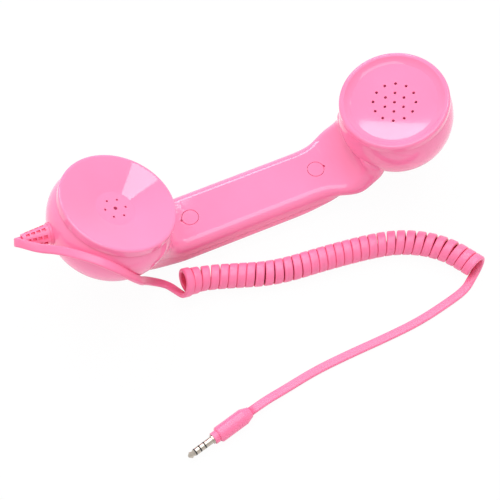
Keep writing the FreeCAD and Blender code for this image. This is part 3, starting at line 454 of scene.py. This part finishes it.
band = bmesh.new()
strip = band.loops.layers.uv.new("along")
rings = []
travelled = [0]
for here, there in zip(centre_line, centre_line[1:]):
    travelled.append(travelled[-1] + (there - here).length)
for point, edge, way in zip(centre_line, edge_line, headings(centre_line)):
    face = edge - point
    face = (face - way * face.dot(way)).normalized()
    normal = way.cross(face)
    rings.append([band.verts.new(point + face * u + normal * v) for u, v in section])
around = len(section)
for index, (ring, next_ring) in enumerate(zip(rings, rings[1:])):
    for turn in range(around):
        after = (turn + 1) % around
        quad = band.faces.new((ring[turn], ring[after], next_ring[after], next_ring[turn]))
        quad.smooth = True
        ends = (index, index, index + 1, index + 1)
        for loop, end, across in zip(quad.loops, ends, (turn, turn + 1, turn + 1, turn)):
            loop[strip].uv = (travelled[end], across / around)
band.faces.new(rings[0][::-1])
band.faces.new(rings[-1])
bmesh.ops.recalc_face_normals(band, faces=band.faces)
cord_mesh = bpy.data.meshes.new("flat_curly_cord")
band.to_mesh(cord_mesh)
band.free()
cord = add_object("flat_curly_cord", cord_mesh)

# The cord's finish carries painted shade in the gaps between its turns.
cord_pink = finish("cord_pvc", FLEX_PINK, FLEX_SHINE, FLEX_GRAIN, FLEX_HEIGHT, stretch=CORD_STRETCH,
                   lay="UV", shade_reach=CORD_SHADE_REACH)
cord_mesh.materials.append(cord_pink)

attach(cord, "handset")
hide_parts("cord_tail", "curly_cord", "cord_lead")


# Plug
# A 3.5 mm four-pole plug: a PVC grip moulded onto the cord, four nickel-plated contacts turned
# from brass, and black insulating rings between them.

PLUG_HEADING = math.radians(-166)
NICKEL_GREY = (0.5, 0.45, 0.39)
NICKEL_SHINE = (0.1, 0.2)
NICKEL_GRAIN = 1800
NICKEL_STRETCH = (1, 40, 40)
INSULATOR_BLACK = (0.012, 0.012, 0.013)
INSULATOR_SHINE = (0.3, 0.45)

nickel = finish("nickel_plating", NICKEL_GREY, NICKEL_SHINE, NICKEL_GRAIN, FINE_HEIGHT, metallic=1,
                stretch=NICKEL_STRETCH, turn=PLUG_HEADING)
insulator = finish("black_insulator", INSULATOR_BLACK, INSULATOR_SHINE, FINE_GRAIN, FINE_HEIGHT)
# The grip shares the boot's finish, painted shade in its gaps included.
dress(flex_pink, "plug_grip")
dress(nickel, "plug_sleeve", "plug_ring_1", "plug_ring_2", "plug_tip")
dress(insulator, "plug_insulators")


# Table, light and camera
# A plain white table that keeps a faint shadow, a white room that is brighter at the back, two
# soft boxes behind the handset and one overhead, seen from the photograph's place.

FLOOR_SIZE = 4
FLOOR_WHITE = (0.9, 0.9, 0.9, 1)
FLOOR_ROUGHNESS = 0.9
FLOOR_GLOW = 0.96
MIRRORED_GLOW = 0.45
FRONT_LIGHT = 0.55
BACK_LIGHT = 1.1
MIRRORED_ROOM = 0.6
CAMERA_PLACE = Vector((-0.1563, -0.3379, 0.6313))
CAMERA_AIM = Vector((-0.01842, -0.02992, 0.018))
CAMERA_LENS = 100.05
CAMERA_SENSOR = 36

floor_shape = bmesh.new()
bmesh.ops.create_grid(floor_shape, x_segments=1, y_segments=1, size=FLOOR_SIZE / 2)
floor_mesh = bpy.data.meshes.new("table")
floor_shape.to_mesh(floor_mesh)
floor_shape.free()
floor = add_object("table", floor_mesh)


def seen_or_mirrored(tree, mirrored):
    """1 for what the camera sees, a share for gloss or glass, 0 for light that only falls on things."""
    path = add_node(tree, "ShaderNodeLightPath")
    total = path.outputs["Is Camera Ray"]
    for kind in ("Is Glossy Ray", "Is Transmission Ray"):
        part = add_node(tree, "ShaderNodeMath", operation="MULTIPLY")
        part.inputs[1].default_value = mirrored
        tree.links.new(path.outputs[kind], part.inputs[0])
        most = add_node(tree, "ShaderNodeMath", operation="MAXIMUM")
        tree.links.new(total, most.inputs[0])
        tree.links.new(part.outputs["Value"], most.inputs[1])
        total = most.outputs["Value"]
    return total


table_white = bpy.data.materials.new("table_white")
table_white.use_nodes = True
tree = table_white.node_tree
matt = tree.nodes["Principled BSDF"]
matt.inputs["Base Color"].default_value = FLOOR_WHITE
matt.inputs["Roughness"].default_value = FLOOR_ROUGHNESS
glow = add_node(tree, "ShaderNodeEmission")
mix = add_node(tree, "ShaderNodeMixShader")
share = add_node(tree, "ShaderNodeMath", operation="MULTIPLY")
share.inputs[1].default_value = FLOOR_GLOW
tree.links.new(seen_or_mirrored(tree, MIRRORED_GLOW), share.inputs[0])
tree.links.new(share.outputs["Value"], mix.inputs["Fac"])
tree.links.new(matt.outputs["BSDF"], mix.inputs[1])
tree.links.new(glow.outputs["Emission"], mix.inputs[2])
tree.links.new(mix.outputs["Shader"], tree.nodes["Material Output"].inputs["Surface"])
floor_mesh.materials.append(table_white)

room = bpy.data.worlds.new("white_room")
bpy.context.scene.world = room
room.use_nodes = True
tree = room.node_tree
background = tree.nodes["Background"]
direction = add_node(tree, "ShaderNodeSeparateXYZ")
tree.links.new(add_node(tree, "ShaderNodeTexCoord").outputs["Generated"], direction.inputs["Vector"])
falling = add_node(tree, "ShaderNodeMapRange")
falling.inputs["From Min"].default_value = -1
falling.inputs["To Min"].default_value = FRONT_LIGHT
falling.inputs["To Max"].default_value = BACK_LIGHT
tree.links.new(direction.outputs["Y"], falling.inputs["Value"])
level = add_node(tree, "ShaderNodeMix")
level.inputs["B"].default_value = 1
tree.links.new(seen_or_mirrored(tree, MIRRORED_ROOM), level.inputs["Factor"])
tree.links.new(falling.outputs["Result"], level.inputs["A"])
tree.links.new(level.outputs["Result"], background.inputs["Strength"])
background.inputs["Color"].default_value = (1, 1, 1, 1)


def soft_box(name, azimuth, elevation, distance, width, height, brightness, roll=0):
    """A rectangular soft box that faces the handset from a direction and is rolled about it, in degrees."""
    lamp = bpy.data.lights.new(name, "AREA")
    lamp.shape = "RECTANGLE"
    lamp.size = width
    lamp.size_y = height
    lamp.energy = brightness * math.pi * width * height
    holder = add_object(name, lamp)
    turn = math.radians(azimuth)
    rise = math.radians(elevation)
    way = Vector((math.cos(turn) * math.cos(rise), math.sin(turn) * math.cos(rise), math.sin(rise)))
    holder.location = way * distance
    holder.rotation_mode = "QUATERNION"
    holder.rotation_quaternion = way.to_track_quat("Z", "Y") @ Quaternion((0, 0, 1), math.radians(roll))


soft_box("right_box", azimuth=29, elevation=58, distance=3, width=0.7, height=0.8, brightness=4.8)
soft_box("back_box", azimuth=82.5, elevation=47.8, distance=3, width=1.1, height=0.9, brightness=5.4,
         roll=-31)
soft_box("overhead", azimuth=0, elevation=90, distance=1.2, width=0.9, height=0.9, brightness=2.3)

camera = bpy.data.cameras.new("camera")
camera.lens = CAMERA_LENS
camera.sensor_width = CAMERA_SENSOR
viewer = add_object("camera", camera)
viewer.location = CAMERA_PLACE
viewer.rotation_mode = "QUATERNION"
viewer.rotation_quaternion = (CAMERA_AIM - CAMERA_PLACE).to_track_quat("-Z", "Y")
bpy.context.scene.camera = viewer
bpy.context.scene.view_settings.view_transform = "Standard"
